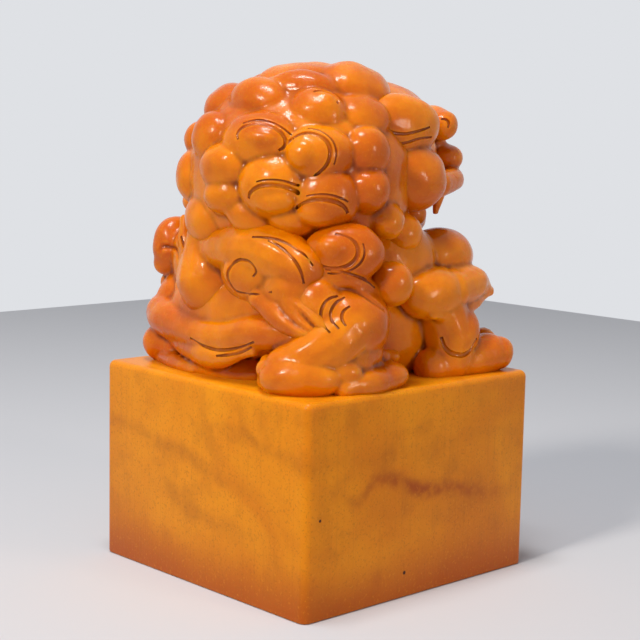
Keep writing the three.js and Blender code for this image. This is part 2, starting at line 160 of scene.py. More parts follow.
def ball(x, y, z, rx, ry, rz, turn=0, lean=0):
    """A rounded lump, turned round the upright and leaned over its own width, in degrees."""
    bpy.ops.mesh.primitive_ico_sphere_add(
        subdivisions=BALL_DETAIL,
        radius=1,
        location=at(x, y, z),
        rotation=(math.radians(lean), 0, math.radians(turn)),
        scale=(rx * MM, ry * MM, rz * MM),
    )
    return settle(bpy.context.object)


def facet(x, y, z, wide, long, tall, turn=0, lean=0, tilt=0):
    """A lump with flat faces and eased edges, for the places where a knife cut it off."""
    bpy.ops.mesh.primitive_cube_add(
        size=1,
        location=at(x, y, z),
        rotation=(math.radians(lean), math.radians(tilt), math.radians(turn)),
        scale=(wide * MM, long * MM, tall * MM),
    )
    return apply(settle(bpy.context.object), "BEVEL", width=KNIFE_EASE * MM, segments=4)


def drawn(points, radii, sides=5):
    """A round bar drawn through points in metres, with a radius in metres at each."""
    bpy.ops.curve.primitive_bezier_curve_add()
    bar = bpy.context.object
    bar.data.splines[0].bezier_points.add(len(points) - 2)
    for spot, point, radius in zip(bar.data.splines[0].bezier_points, points, radii):
        spot.co = point
        spot.radius = radius
        spot.handle_left_type = spot.handle_right_type = "AUTO"
    bar.data.splines[0].radius_interpolation = "CARDINAL"
    bar.data.dimensions = "3D"
    bar.data.bevel_depth = 1
    bar.data.bevel_resolution = sides
    bar.data.resolution_u = STEPS_PER_STATION
    bar.data.use_fill_caps = True
    bpy.ops.object.convert(target="MESH")
    return bpy.context.object


def limb(*stations):
    """A lump drawn out through stations of x, y, z and radius, with round ends."""
    points = [at(x, y, z) for x, y, z, _ in stations]
    radii = [radius * MM for *_, radius in stations]
    ends = [ball(*station[:3], *[station[3]] * 3) for station in (stations[0], stations[-1])]
    return join(drawn(points, radii), *ends)


def join(*pieces):
    """Makes one mesh object of several, each still whole in itself."""
    only(*pieces)
    bpy.ops.object.join()
    return bpy.context.object


def both_sides(piece):
    """Adds a lump's mirror image on the lion's other side; fusing turns its faces outward."""
    only(piece)
    bpy.ops.object.duplicate()
    twin = bpy.context.object
    twin.scale.x = -1
    return join(piece, settle(twin))


# %% Fusing, cutting and polishing
# The knife leaves marks this far apart and this high, in millimetres. A piece is thinned to its
# largest count of triangles before it is engraved, so that it stays under 200,000 with grooves.
TOOL_VOXEL = VOXEL * 0.6
FINE_VOXEL = 0.08
MARK_SIZE = 3.2
MARK_HIGH = 0.35
CRISP_ANGLE = 50
LARGEST_PIECE = 150000


def fuse(piece, voxel=VOXEL):
    """Melts a piece's overlapping lumps into one closed skin."""
    return apply(piece, "REMESH", mode="VOXEL", voxel_size=voxel * MM, adaptivity=0)


def cut(piece, grooves):
    """Takes wide grooves out of a piece before it is polished, so their edges wear round."""
    tool = fuse(join(*grooves), voxel=TOOL_VOXEL)
    apply(piece, "BOOLEAN", operation="DIFFERENCE", solver="MANIFOLD", object=tool)
    bpy.data.objects.remove(tool)
    return piece


def polish(piece, name):
    """Gives a fused piece the knife's soft unevenness, rubs it smooth, thins it and names it."""
    fuse(piece)
    marks = bpy.data.textures.new("knife marks", "CLOUDS")
    marks.noise_scale = MARK_SIZE * MM
    marks.noise_depth = 1
    apply(piece, "DISPLACE", texture=marks, strength=MARK_HIGH * MM, mid_level=0.5,
          texture_coords="GLOBAL")
    apply(piece, "SMOOTH", factor=0.5, iterations=2)
    triangles = 2 * len(piece.data.polygons)
    if triangles > LARGEST_PIECE:
        apply(piece, "DECIMATE", ratio=LARGEST_PIECE / triangles)
    only(piece)
    bpy.ops.object.shade_smooth()
    piece.name = name
    print(f"{name}: {len(piece.data.polygons)} faces")
    return piece


def engrave(piece, grooves):
    """Takes fine, crisp grooves out of a polished piece."""
    tool = fuse(join(*grooves), voxel=FINE_VOXEL)
    apply(piece, "BOOLEAN", operation="DIFFERENCE", solver="MANIFOLD", object=tool)
    bpy.data.objects.remove(tool)
    only(piece)
    bpy.ops.object.shade_smooth_by_angle(angle=math.radians(CRISP_ANGLE))
    return piece


def dress(piece, slot, *nodes):
    """Hands a finished piece to the frame in place of the CAD nodes that it stands for."""
    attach(piece, "root")
    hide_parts(*nodes)
    return piece


# %% The graver
def graver(trail, width, depth):
    """A groove's tool: a bar along a trail that cuts this wide and this deep, in millimetres.

    A graver bites less where a stroke starts and ends, so the cut is a third smaller there.
    """
    radius = (width ** 2 / 4 + depth ** 2) / (2 * depth)
    last = len(trail) - 1
    points, radii = [], []
    for step, (point, normal) in enumerate(trail):
        easing = 0.45 + 0.55 * math.sin(math.pi * (0.12 + 0.76 * step / last))
        points.append(point + normal * (radius - depth) * easing * MM)
        radii.append(radius * easing * MM)
    return drawn(points, radii, sides=3)


# %% [markdown]
# ## The mane
#
# The lion's mane is a thick ruff of snail curls, packed like cobbles over an egg-shaped head.
# Each curl is a low dome. The larger ones have a bead at their heart with a groove winding
# round it. A curl is placed by its bearing round the egg, its lift over the egg's middle and
# its roll, so a carver who moves one keeps it lying flat on the head.

# %% The mane's egg
# The curls stand on the egg. The head's stone is a ball that fills the valleys between them.
EGG_CENTRE = (0, 0.9, 21.8)
EGG_RADII = (13.0, 13.8, 11.8)
HEAD_STONE = (0, 3.0, 21.8, 13.3, 12.6, 12.3)
GRAVER_WIDE = 0.6
GRAVER_DEEP = 0.26
# A curl's two grooves: the shares of the winding at which each starts and ends, how far out it
# lies as a share of the bead, and its size as a share of the graver's.
RIMS = ((0.0, 1.0, 1.06, 1.0), (0.3, 0.8, 1.40, 0.6))
STEPS_ROUND_BEAD = 12
BEAD_SUNK = 0.75


def moved(x, y, z):
    """A matrix that moves by millimetres."""
    return Matrix.Translation(Vector((x, y, z)) * MM)


def egg_place(bearing, lift):
    """The matrix that stands a curl on the egg: across, rising and outward."""
    around, up = math.radians(bearing), math.radians(lift)
    unit = Vector((
        -math.sin(around) * math.cos(up), math.cos(around) * math.cos(up), math.sin(up),
    ))
    outward = Vector([part / radius for part, radius in zip(unit, EGG_RADII)]).normalized()
    across = Vector((0, 0, 1)).cross(outward).normalized()
    rising = outward.cross(across)
    centre = Vector([
        middle + part * radius for middle, part, radius in zip(EGG_CENTRE, unit, EGG_RADII)
    ])
    turned = Matrix((across, rising, outward)).transposed().to_4x4()
    return Matrix.Translation(at(*centre)) @ turned


def dome(place, wide, tall, deep, roll=0):
    """A low dome in its own frame, lying flat on what it is placed on."""
    bpy.ops.mesh.primitive_ico_sphere_add(subdivisions=BALL_DETAIL, radius=1)
    lump = bpy.context.object
    lump.matrix_world = place @ Matrix.Rotation(math.radians(roll), 4, "Z") @ Matrix.Diagonal(
        (wide * MM, tall * MM, deep * MM, 1)
    )
    return settle(lump)


def dome_height(x, y, wide, tall, deep):
    """How far a dome stands out at x, y of its own frame, and a little near its rim and beyond."""
    return deep * math.sqrt(max(0.05, 1 - (x / wide) ** 2 - (y / tall) ** 2))


def curl(place, wide, tall, deep, roll=0, bead=None, wind=None):
    """A snail curl: the dome, the bead on it and the groove that winds round the bead.

    bead is its x, y and two half sizes on the dome. wind is where the groove starts and ends
    round the bead in degrees, and how much further out it lies at its end. A shorter groove
    follows it further out, so the curl has a double rim.
    """
    lumps = [dome(place, wide, tall, deep, roll)]
    grooves = []
    turned = place @ Matrix.Rotation(math.radians(roll), 4, "Z")
    if bead:
        x, y, rx, ry = bead
        height = dome_height(x, y, wide, tall, deep)
        seat = turned @ moved(x, y, height - BEAD_SUNK * ry)
        lumps.append(dome(seat, rx, ry, ry))
        start, end, flare = wind
        for first, last, nearest, size in RIMS:
            trail = []
            for step in range(STEPS_ROUND_BEAD + 1):
                share = first + (last - first) * step / STEPS_ROUND_BEAD
                angle = math.radians(start + (end - start) * share)
                reach = nearest + flare * share
                px, py = x + rx * reach * math.cos(angle), y + ry * reach * math.sin(angle)
                pz = dome_height(px, py, wide, tall, deep)
                trail.append((turned @ (Vector((px, py, pz)) * MM), turned.col[2].xyz))
            grooves.append(graver(trail, GRAVER_WIDE * size, GRAVER_DEEP * size))
    return lumps, grooves


# %% Curls of the mane
CROWN_CURLS = [
    dict(bearing=24, lift=74, wide=5.0, tall=3.4, deep=1.5, roll=12),
    dict(bearing=90, lift=62, wide=4.4, tall=3.9, deep=2.3),
    dict(bearing=36, lift=57, wide=4.2, tall=2.3, deep=2.0),
    dict(bearing=6, lift=47, wide=4.0, tall=2.7, deep=2.4, roll=-6),
    dict(bearing=-37, lift=42, wide=3.4, tall=3.0, deep=2.4),
    dict(bearing=50, lift=40, wide=3.2, tall=2.6, deep=2.2, roll=-20,
         bead=(0.4, 0.5, 1.2, 0.7), wind=(170, -20, 0.3)),
    dict(bearing=78, lift=38, wide=3.2, tall=2.8, deep=1.5),
    dict(bearing=180, lift=70, wide=4.4, tall=3.4, deep=1.6),
    dict(bearing=-84, lift=58, wide=4.4, tall=3.4, deep=1.6),
    dict(bearing=-72, lift=38, wide=3.4, tall=2.8, deep=2.2),
]
RUFF_CURLS = [
    dict(bearing=-42, lift=20, wide=2.2, tall=2.2, deep=2.4),
    dict(bearing=-15, lift=23, wide=3.0, tall=2.9, deep=2.5),
    dict(bearing=20, lift=22, wide=4.3, tall=3.1, deep=2.5,
         bead=(0.9, -0.6, 2.2, 1.2), wind=(200, -40, 0.3)),
    dict(bearing=50, lift=15, wide=3.9, tall=3.0, deep=2.5,
         bead=(-1.5, -0.3, 2.0, 1.8), wind=(150, -70, 0.35)),
    dict(bearing=74, lift=17, wide=2.7, tall=2.7, deep=2.4),
    dict(bearing=74, lift=-3, wide=2.5, tall=2.6, deep=2.4),
    dict(bearing=86, lift=-20, wide=2.2, tall=2.1, deep=2.4),
    dict(bearing=104, lift=-28, wide=2.3, tall=2.2, deep=2.4),
    dict(bearing=54, lift=-8, wide=3.6, tall=3.4, deep=2.6,
         bead=(-0.9, -1.3, 2.3, 1.5), wind=(165, 5, 0.25)),
    dict(bearing=29, lift=-2, wide=3.6, tall=3.6, deep=2.6,
         bead=(0.6, -1.4, 2.4, 1.5), wind=(175, -25, 0.25)),
    dict(bearing=3, lift=7, wide=3.4, tall=2.6, deep=2.5, roll=8),
    dict(bearing=-36, lift=0, wide=2.8, tall=3.1, deep=2.4),
    dict(bearing=4, lift=-8, wide=2.8, tall=2.2, deep=2.4),
    dict(bearing=-63, lift=15, wide=3.2, tall=3.0, deep=2.4,
         bead=(0.9, -0.3, 1.8, 1.6), wind=(30, 250, 0.35)),
    dict(bearing=-86, lift=15, wide=2.8, tall=2.7, deep=2.4),
    dict(bearing=-60, lift=-8, wide=3.4, tall=3.3, deep=2.5,
         bead=(0.9, -1.2, 2.2, 1.4), wind=(15, 175, 0.25)),
    dict(bearing=-83, lift=-6, wide=2.7, tall=2.7, deep=2.4),
]
NAPE_CURLS = [
    dict(bearing=-23, lift=-25, wide=4.0, tall=3.5, deep=2.7),
    dict(bearing=16, lift=-18, wide=3.0, tall=2.0, deep=2.2, roll=-30),
    dict(bearing=38, lift=-18, wide=2.8, tall=2.0, deep=2.2, roll=-15),
    dict(bearing=-50, lift=-29, wide=3.3, tall=2.9, deep=2.4),
    dict(bearing=-72, lift=-27, wide=2.5, tall=2.4, deep=2.4),
]

# %% Mane
mane_lumps = [ball(*HEAD_STONE)]
mane_winds = []
for row in CROWN_CURLS + RUFF_CURLS + NAPE_CURLS:
    shape = dict(row)
    domes, winds = curl(egg_place(shape.pop("bearing"), shape.pop("lift")), **shape)
    mane_lumps += domes
    mane_winds += winds
mane = engrave(polish(fuse(join(*mane_lumps)), "mane"), mane_winds)
dress(mane, "lion_stone", "mane_crown", "mane_ruff", "mane_nape")

# %% [markdown]
# ## Lines taken from the photograph
#
# The carver drew the folds and curls with a graver. Each line is written here as the photograph
# shows it, in pixels, and a ray from the camera finds where it lies on the stone. So the line
# sits on the form that carries it, whatever that form's shape.

# %% Grooves along seen lines
def seen(body, pixels):
    """Where the camera sees each pixel of a line on a body, with the surface's direction."""
    start = (aim + to_camera * CAMERA_DISTANCE) * MM
    found = []
    for across, down in pixels:
        ray = (
            view_right * (across - PHOTO_PIXELS / 2)
            - view_up * (down - PHOTO_PIXELS / 2)
            - to_camera * FOCAL_PIXELS
        ).normalized()
        hit, point, normal, _ = body.ray_cast(start, ray)
        if hit:
            found.append((point, normal))
    if len(found) < len(pixels):
        print(f"{body.name}: {len(pixels) - len(found)} of {len(pixels)} points off it")
    return found


LINE_WIDE, LINE_DEEP = 0.7, 0.34
FINE_WIDE, FINE_DEEP = 0.45, 0.22


def line(body, pixels, width=LINE_WIDE, depth=LINE_DEEP):
    return graver(seen(body, pixels), width, depth)


def fine_line(body, pixels):
    return line(body, pixels, FINE_WIDE, FINE_DEEP)


# %% [markdown]
# ## Hindquarters
#
# The haunches are the lion's largest forms: a rump, two thighs that end in a round knee, and a
# long fold that runs round the rear like a sash. Under them the hind feet lie along the edge
# of the block. The broad folds are lumps, laid so that they melt into the haunch. Only the lines
# that the carver drew last, such as the three shell arcs over the knee, are engraved.

# %% Hindquarters
hind_lumps = [
    # Rump and thighs
    ball(0, 5.2, 8.4, 12.5, 7.6, 8.0),
    ball(5.0, 7.6, 13.0, 8.6, 5.0, 5.6),
    ball(9.2, 8.8, 12.0, 5.0, 4.0, 5.4),
    both_sides(ball(-9.0, 7.2, 6.4, 7.0, 6.0, 5.4)),
    both_sides(ball(-12.0, 7.2, 6.8, 4.8, 5.0, 4.4)),
    ball(12.6, 9.0, 6.4, 3.6, 4.2, 4.4),
    # The sash round the rear, and the lower fold under it
    limb((16.0, 10.0, 6.2, 1.2), (13.4, 12.2, 5.6, 2.2), (7.4, 13.7, 4.9, 2.2),
         (0.1, 14.5, 4.6, 1.9), (-7.0, 13.9, 5.8, 1.9), (-11.4, 12.2, 5.2, 1.7)),
    limb((11.0, 12.4, 3.6, 1.3), (5.6, 14.0, 2.9, 1.6), (-0.3, 15.0, 2.6, 1.5),
         (-5.8, 14.8, 3.8, 0.6)),
    # Stone that fills the rear behind the folds, down to the block
    ball(1.0, 10.4, 6.8, 12.0, 4.9, 4.8),
    ball(-10.2, 10.6, 8.0, 4.2, 3.2, 4.6),
    ball(3.0, 11.6, 0.4, 7.0, 3.4, 2.2),
    # The strip along the block, and two narrow strips beside the tail
    limb((12.5, 12.8, 0.5, 1.0), (8.0, 14.2, 0.4, 0.9), (4.5, 14.8, 0.2, 0.6)),
    limb((10.2, 12.2, 9.2, 0.7), (8.9, 12.9, 7.2, 0.9), (7.9, 13.4, 5.2, 0.6)),
    limb((10.6, 11.4, 16.6, 0.7), (9.6, 12.0, 14.4, 0.9), (8.4, 12.2, 12.0, 0.6)),
    # The right hind leg: heel, foot, shin from the knee to the heel, sole and toes
    facet(-9.8, 14.2, 1.5, 4.6, 4.4, 3.8, turn=-24, lean=8, tilt=-6),
    ball(-12.2, 12.6, 2.2, 5.6, 2.2, 2.3, turn=42),
    ball(-12.4, 14.0, 1.6, 4.3, 2.5, 2.4, turn=42),
    limb((-13.6, 8.0, 6.8, 3.2), (-12.9, 11.6, 4.3, 3.0), (-10.6, 14.3, 2.5, 2.4)),
    limb((-12.6, 11.6, 3.2, 2.2), (-13.8, 8.6, 3.4, 2.4), (-13.6, 6.0, 3.8, 2.2)),
    limb((-15.3, 10.4, 0.6, 1.3), (-15.8, 7.4, 0.8, 1.5), (-15.4, 4.4, 1.0, 1.6)),
    both_sides(ball(-15.1, 3.7, 1.2, 1.9, 2.6, 1.6)),
    both_sides(limb((-13.8, 3.4, 3.0, 0.9), (-13.2, 0.8, 2.8, 0.8))),
    # The left hind foot and hip
    limb((13.8, 12.0, 2.1, 2.4), (11.0, 12.4, 1.6, 1.4)),
    limb((13.6, 10.4, 1.8, 2.0), (15.0, 7.4, 1.4, 2.1), (15.2, 4.6, 1.2, 1.8)),
    ball(13.0, 6.4, 13.8, 2.8, 4.0, 3.3),
    ball(14.4, 9.8, 13.2, 2.4, 2.9, 3.6),
    ball(14.9, 11.0, 11.4, 1.4, 1.4, 1.5),
    ball(15.3, 9.8, 8.9, 1.2, 1.2, 1.3),
    # The band from the plume over the right flank
    limb((-10.4, 11.4, 11.4, 1.3), (-12.9, 7.8, 11.4, 1.4), (-13.6, 4.4, 9.8, 1.1),
         (-13.8, 2.8, 8.2, 0.4)),
]
HIP_BEARING = 232
HIP = (
    Matrix.Translation(at(-12.2, 7.8, 14.4))
    @ Matrix.Rotation(math.radians(HIP_BEARING), 4, "Z")
    @ Matrix.Rotation(math.radians(90), 4, "X")
)
hip_domes, hip_winds = curl(
    HIP, wide=4.4, tall=3.3, deep=2.7, bead=(-1.2, 0.6, 2.1, 1.6), wind=(90, -150, 0.25))
hind_lumps += hip_domes
hindquarters = fuse(join(*hind_lumps))
hindquarters.name = "hindquarters"
HAUNCH_LINES = {
    "over the haunch": [(330, 289), (346, 289), (360, 293), (375, 303), (385, 311)],
    "left curl": [(159, 252), (162, 247), (170, 247), (177, 252), (179, 262)],
}
SHELL_LINES = {
    "outer shell": [(338, 296), (329, 299), (323, 306), (321, 316), (324, 326), (330, 333)],
    "middle shell": [(345, 297), (336, 303), (331, 312), (332, 321), (339, 329)],
    "inner shell": [(350, 306), (343, 312), (342, 319), (346, 326)],
    "under the plume": [(325, 269), (341, 272), (356, 276), (367, 281), (375, 288)],
    "under the sash": [(190, 338), (204, 346), (221, 350), (238, 348), (254, 342)],
    "lower fold": [(216, 356), (228, 355), (241, 352), (252, 347)],
    "beside the lobe": [(181, 236), (184, 246), (186, 256), (188, 266)],
}
cut(hindquarters, [line(hindquarters, pixels) for pixels in HAUNCH_LINES.values()])
polish(hindquarters, "hindquarters")
engrave(hindquarters, hip_winds + [
    fine_line(hindquarters, pixels) for pixels in SHELL_LINES.values()
])
dress(hindquarters, "lion_stone", "right_haunch", "left_haunch", "right_hind_foot",
      "left_hind_foot", "right_hip_curl", "left_hip_curl")

# %% [markdown]
# ## Tail
#
# The tail hangs down the rump as one thick lobe. A plume springs from it, coils into a scroll
# and sweeps round to the lion's right, where it ends in pointed locks like flames. Each lock is
# a limb that thins to a point, because a tapering limb is how such a lock grows out of the hair.

# %% Tail
tail_lumps = [
    # The lobe that hangs down, and the plume with its scroll
    limb((5.8, 11.4, 16.6, 2.6), (5.0, 12.0, 13.6, 3.2), (4.4, 12.5, 10.8, 3.9),
         (4.2, 12.5, 10.0, 3.9)),
    limb((3.4, 12.6, 13.6, 2.4), (-1.6, 13.1, 14.4, 2.8), (-6.2, 12.6, 14.2, 3.1),
         (-9.6, 11.6, 12.8, 2.8)),
    ball(-3.4, 12.8, 12.2, 4.4, 3.0, 3.7),
    ball(-2.7, 15.0, 12.0, 1.4, 1.1, 1.4),
    ball(-6.6, 12.4, 9.8, 4.4, 2.4, 3.0),
    ball(-8.4, 12.3, 10.6, 3.4, 2.5, 3.0),
    # Two locks like flames, and the strip beside the lobe
    limb((-6.0, 13.9, 9.4, 1.4), (-9.6, 13.7, 7.5, 1.5), (-12.4, 13.0, 6.5, 1.1),
         (-14.7, 11.9, 5.8, 0.4)),
    limb((-8.4, 12.8, 11.4, 1.7), (-10.4, 13.0, 9.0, 1.4), (-12.6, 12.5, 7.7, 1.1),
         (-14.7, 11.7, 6.1, 0.4)),
    limb((7.2, 12.0, 16.8, 0.9), (5.6, 13.2, 15.0, 1.4), (3.6, 13.8, 13.4, 0.5)),
]
tail = fuse(join(*tail_lumps))
tail.name = "tail"
FLAME_LINES = {
    "first flame": [(277, 306), (288, 318), (303, 329), (320, 337)],
    "second flame": [(290, 303), (301, 314), (313, 326), (323, 334)],
}
TAIL_LINES = {
    "scroll": [(253, 277), (256, 271), (252, 264), (244, 260), (235, 262), (229, 269),
               (228, 279), (233, 288), (242, 293), (256, 294), (272, 292)],
    "upper fold": [(252, 237), (270, 238), (287, 243), (301, 252), (313, 266)],
    "middle fold": [(268, 240), (282, 248), (294, 260), (301, 272), (304, 284)],
}
cut(tail, [line(tail, pixels) for pixels in FLAME_LINES.values()])
polish(tail, "tail")
engrave(tail, [fine_line(tail, pixels) for pixels in TAIL_LINES.values()])
dress(tail, "lion_stone", "tail_scroll", "tail_root", "tail_plume")

# %% [markdown]
# ## Forequarters
#
# The trunk, the chest and the two short forelegs carry the head. A lobe, a round elbow curl and a
# pointed fringe lie over each leg like pieces of armour. The lion is the same on both sides here,
# so each lump of the right side is mirrored, and the one groove is cut where the photograph
# shows it.

# %% Forequarters
fore_lumps = [
    # Trunk, chest and belly
    ball(0, 0.0, 8.0, 11.4, 13.0, 9.0),
    ball(0, -7.0, 8.0, 10.6, 7.6, 8.4),
    both_sides(ball(-8.4, -3.2, 5.0, 3.6, 8.0, 6.0)),
    both_sides(ball(-8.6, -3.0, 12.6, 4.4, 6.4, 5.0)),
    # Chest lobe, elbow curl and forearm fringe
    both_sides(ball(-9.8, -9.8, 13.2, 3.5, 4.6, 3.2)),
    both_sides(ball(-14.0, 2.4, 11.0, 2.5, 2.5, 2.5)),
    both_sides(ball(-12.7, -5.8, 9.3, 2.8, 4.8, 3.0)),
    both_sides(limb((-12.4, -15.8, 8.8, 0.5), (-13.6, -11.4, 7.6, 0.7), (-14.2, -7.6, 6.9, 0.8),
                    (-14.2, -4.2, 7.3, 0.7))),
    # Foreleg, paw and toes
    both_sides(limb((-11.8, -7.4, 8.0, 3.2), (-12.8, -8.4, 4.4, 3.1), (-12.8, -8.4, 1.6, 3.0))),
    both_sides(ball(-13.4, -9.5, 4.8, 2.6, 2.4, 3.0)),
    both_sides(limb((-12.8, -6.0, 0.8, 2.2), (-13.4, -10.0, 1.2, 2.4), (-14.2, -13.6, 1.9, 2.4))),
    both_sides(ball(-14.8, -14.9, 1.9, 1.9, 1.7, 2.0)),
    both_sides(ball(-12.4, -15.2, 2.6, 1.7, 1.5, 2.0)),
    # The knob at the front of the fringe
    both_sides(limb((-12.9, -8.5, 9.6, 2.5), (-12.5, -12.6, 10.0, 2.1), (-12.6, -15.6, 8.9, 0.7))),
]
forequarters = fuse(join(*fore_lumps))
forequarters.name = "forequarters"
FORE_LINES = {
    "foreleg": [(441, 337), (446, 349), (457, 355), (470, 351), (477, 338)],
}
polish(forequarters, "forequarters")
engrave(forequarters, [line(forequarters, pixels) for pixels in FORE_LINES.values()])
dress(forequarters, "lion_stone", "trunk", *[
    f"{side}_{name}" for side in ("right", "left") for name in (
        "chest_lobe", "elbow_curl", "forearm_fringe", "foreleg", "fore_paw")
])

# %% [markdown]
# ## Head
#
# Only the profile is seen: a long ear over the cheek, a curled brow, a broad nose, the open mouth
# with its fang and tongue, and a beard on the chest. The head is modelled whole and mirrored,
# from the same lumps and limbs, and the folds of the ear are engraved where they are seen.

# %% Head
head_lumps = [
    # Skull, ears and cheeks
    ball(0, -6.6, 24.6, 9.6, 7.6, 6.6),
    ball(0, -6.0, 28.0, 9.4, 7.4, 5.4),
    both_sides(ball(-9.5, -2.4, 27.9, 2.9, 5.6, 3.6, turn=-14)),
    both_sides(ball(-10.3, -4.3, 22.2, 3.3, 4.2, 3.9, turn=-16, lean=10)),
    # Eyes, brows, nose and its wings
    both_sides(ball(-4.4, -13.2, 26.2, 2.2, 2.0, 2.0)),
    both_sides(limb((-1.6, -13.6, 28.6, 1.0), (-4.6, -13.6, 29.0, 1.4), (-7.4, -12.4, 28.0, 1.8))),
    limb((0, -12.0, 28.6, 1.6), (0, -14.4, 26.2, 1.8), (0, -15.2, 24.0, 2.0)),
    ball(0, -15.0, 23.6, 3.8, 2.0, 1.8),
    both_sides(ball(-5.2, -14.4, 24.2, 3.2, 2.2, 1.8)),
    # Upper lip, fangs and tongue
    limb((-9.8, -9.4, 21.4, 1.5), (-7.8, -14.0, 21.8, 1.4), (0, -15.2, 21.4, 1.6),
         (7.8, -14.0, 21.8, 1.4), (9.8, -9.4, 21.4, 1.5)),
    both_sides(limb((-7.6, -12.0, 20.6, 0.9), (-7.6, -11.4, 18.0, 0.35))),
    ball(0, -11.0, 18.6, 3.4, 3.6, 1.0),
    # Lower jaw, throat and beard
    limb((-6.8, -8.4, 17.8, 1.5), (0, -13.4, 16.6, 1.8), (6.8, -8.4, 17.8, 1.5)),
    ball(0, -9.4, 16.2, 5.6, 4.4, 2.0),
    ball(0, -5.6, 18.4, 7.6, 4.0, 4.0),
    limb((0, -11.0, 14.4, 2.0), (0, -13.4, 12.2, 2.2), (0, -13.4, 9.6, 1.4)),
    both_sides(limb((-2.4, -11.0, 13.8, 1.8), (-4.2, -12.8, 12.2, 1.8))),
]
head = fuse(join(*head_lumps))
head.name = "head"
HEAD_LINES = {
    "inner ear": [(378, 123), (389, 131), (403, 134), (415, 132), (430, 127)],
    "outer ear": [(373, 137), (381, 142), (391, 144), (405, 143), (418, 139), (432, 137)],
    "brow curl": [(441, 119), (447, 120), (449, 124), (448, 128)],
}
polish(head, "head")
engrave(head, [fine_line(head, pixels) for pixels in HEAD_LINES.values()])
dress(head, "lion_stone", "face", "nose", "upper_jaw", "lower_jaw", "tongue", "beard", *[
    f"{side}_{name}" for side in ("right", "left") for name in ("eye", "brow", "cheek", "ear")
])

# %% [markdown]
# ## The block
#
# The seal's block is a plain square column, sawn and then rubbed down on a flat stone. Its top
# edges are worn round, its upright edges a little less, and its seal face stays crisp. It starts
# as a cube. Its edges are chosen in edit mode by where they lie and each kind gets its own bevel.

# %% Block
WORN_UPRIGHT = 0.9
WORN_TOP = 0.75
WORN_FACE = 0.25
bpy.ops.mesh.primitive_cube_add(size=1, location=(0, 0, BLOCK_TOP / 2 * MM))
block = bpy.context.object
block.name = "block"
block.scale = (2 * HALF_SIDE * MM, 2 * HALF_SIDE * MM, BLOCK_TOP * MM)
settle(block)


def round_edges(piece, chosen, width, segments):
    """Bevels the edges whose two ends are chosen, in edit mode."""
    only(piece)
    bpy.ops.object.mode_set(mode="EDIT")
    bpy.ops.mesh.select_mode(type="EDGE")
    bpy.ops.mesh.select_all(action="DESELECT")
    bpy.ops.object.mode_set(mode="OBJECT")
    corners = piece.data.vertices
    for edge in piece.data.edges:
        edge.select = chosen(*[corners[i].co / MM for i in edge.vertices])
    bpy.ops.object.mode_set(mode="EDIT")
    bpy.ops.mesh.bevel(offset=width * MM, segments=segments, affect="EDGES")
    bpy.ops.object.mode_set(mode="OBJECT")


def upright(low, high):
    return abs(low.z - high.z) > 1


def level_at(height):
    return lambda one, other: abs(one.z - height) < 0.01 and abs(other.z - height) < 0.01


round_edges(block, upright, WORN_UPRIGHT, 5)
round_edges(block, level_at(BLOCK_TOP), WORN_TOP, 6)
round_edges(block, level_at(0), WORN_FACE, 2)
only(block)
bpy.ops.object.shade_smooth_by_angle(angle=math.radians(25))
print(f"block: {len(block.data.polygons)} faces")
dress(block, "block_stone", "seal_block")

# %% [markdown]
# ## Shadows in the carving
#
# Each piece gets a colour attribute that is dark in its valleys and light on its ridges, painted
# by the tool that an artist would use for dirt. The stone's colour follows it: painted shade in
# the carved creases and painted light on the ridges.

# %% Paint the valleys
# Angles of the dirt tool, which here paints shade into the creases and light onto the ridges.
CREASE_SHADE_ANGLE = 10
RIDGE_LIGHT_ANGLE = 170
LION = (mane, hindquarters, tail, forequarters, head)
for piece in LION:
    only(piece)
    piece.data.color_attributes.new(name="valleys", type="FLOAT_COLOR", domain="CORNER")
    bpy.ops.object.mode_set(mode="VERTEX_PAINT")
    bpy.ops.paint.vertex_color_dirt(
        blur_strength=1, blur_iterations=4, clean_angle=math.radians(RIDGE_LIGHT_ANGLE),
        dirt_angle=math.radians(CREASE_SHADE_ANGLE), dirt_only=False, normalize=False,
    )
    bpy.ops.object.mode_set(mode="OBJECT")
print("painted", ", ".join(piece.name for piece in LION))

# %% [markdown]
# ## The carved stone
#
# The seal is cut from a waxy, faintly see-through soapstone the colour of amber. Light enters it
# and comes out warmer, so thin ridges glow and creases turn deep orange red, deepened by painted
# shade. Its skin is rubbed with wax, which gives small bright lights on a softer shine.
#
# A material is a chain of nodes. Clouds of noise decide where one tint gives way to the next,
# and each step lays one more tint over what is there already, as a painter glazes. A cloud's
# size is written in real millimetres, and one function adds every node.

# %% Tools for materials
SMOOTHLY = {"interpolation_type": "SMOOTHSTEP"}
COLOURS = {"data_type": "RGBA"}


def linear(colour):
    """The linear value of an sRGB colour written as #rrggbb."""
    parts = [int(colour[i:i + 2], 16) / 255 for i in (1, 3, 5)]
    return tuple(p / 12.92 if p <= 0.04045 else ((p + 0.055) / 1.055) ** 2.4 for p in parts) + (1,)


def per_mm(size):
    """A pattern scale whose cells are this many millimetres across on the stone."""
    return 1 / (size * MM)


def material(name):
    """A new material, its tree and its shader."""
    made = bpy.data.materials.new(name)
    made.use_nodes = True
    return made, made.node_tree, made.node_tree.nodes["Principled BSDF"]


def add(tree, kind, *values, output=None, **settings):
    """Adds a node with its settings, fills its inputs in their order and hands back an output.

    A value that is another node's output is linked, None leaves its input as it is, and any
    other value is set. The output is the first one, unless it is asked for by name.
    """
    node = tree.nodes.new("ShaderNode" + kind)
    for name, value in settings.items():
        setattr(node, name, value)
    for socket, value in zip([each for each in node.inputs if each.enabled], values):
        if isinstance(value, bpy.types.NodeSocket):
            tree.links.new(value, socket)
        elif value is not None:
            socket.default_value = value
    return node.outputs[output] if output else next(each for each in node.outputs if each.enabled)
